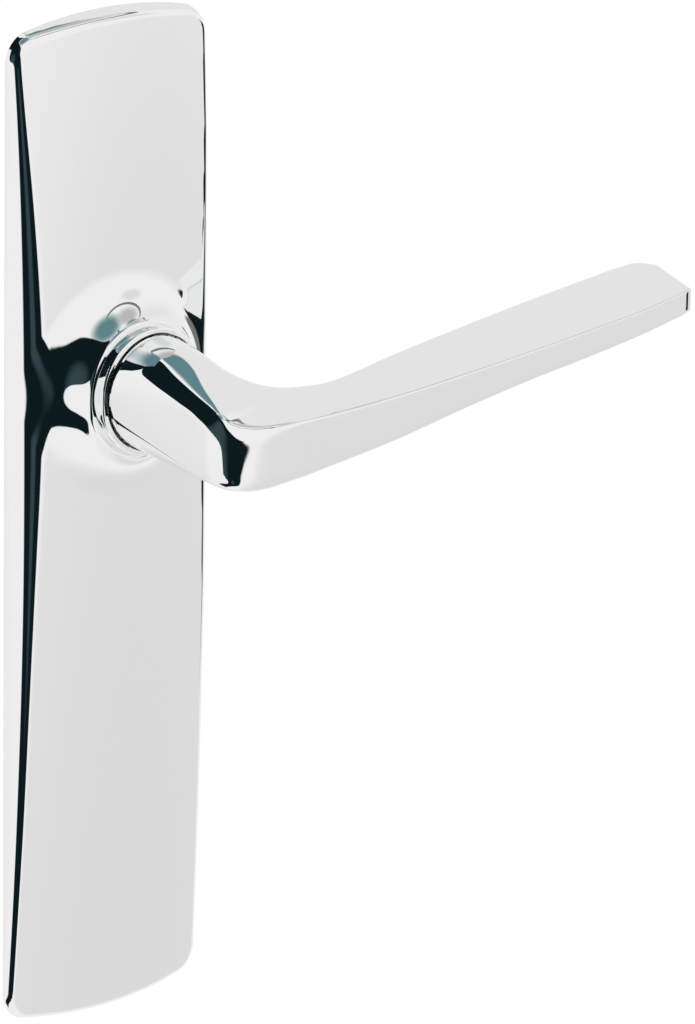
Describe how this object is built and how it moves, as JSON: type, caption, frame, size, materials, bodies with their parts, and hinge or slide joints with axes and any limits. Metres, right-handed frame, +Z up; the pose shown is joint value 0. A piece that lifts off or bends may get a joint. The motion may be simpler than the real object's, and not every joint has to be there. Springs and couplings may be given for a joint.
{
  "type": "interior door lever handle on a back plate",
  "caption": "Chrome lever handle on a long, gently bowed back plate, with a faceted neck, flat tapering grip, return spring, square spindle and hidden fixing posts.",
  "frame": {"origin": "on the spindle axis, in the plane of the door face", "axes": "+Z up along the plate, -Y out of the door towards the hand, +X along the lever"},
  "size_m": [0.1532, 0.0766, 0.22],
  "materials": {
    "bright_chrome": "bright chrome plate, mirror polished",
    "zinc_plated_steel": "bright zinc plate",
    "spring_steel": "oiled spring steel",
    "black_steel": "black oxide, satin",
    "nylon": "natural nylon, moulded"
  },
  "bodies": {
    "plate": {"cover_plate": "bright_chrome", "collar_ring": "bright_chrome", "neck_bush": "nylon", "thrust_washer": "nylon", "base_plate": "zinc_plated_steel", "fixing_post_upper": "zinc_plated_steel", "fixing_post_lower": "zinc_plated_steel", "cover_screw_1": "zinc_plated_steel", "cover_screw_2": "zinc_plated_steel", "cover_screw_3": "zinc_plated_steel", "cover_screw_4": "zinc_plated_steel", "return_spring": "spring_steel", "spring_sleeve": "nylon", "rear_bush": "nylon"},
    "lever": {"lever_handle": "bright_chrome", "grub_screw": "black_steel", "spindle": "zinc_plated_steel", "retaining_ring": "spring_steel", "wave_washer": "spring_steel", "spring_driver": "zinc_plated_steel"}
  },
  "joints": [
    {"name": "lever_turn", "type": "hinge", "parent": "plate", "child": "lever", "pos_m": [0, 0, 0], "axis": [0, 1, 0], "range_deg": [0, 45], "stiffness_Nm_per_rad": 1, "springref_deg": -34.38, "deforming": ["return_spring"]}
  ]
}
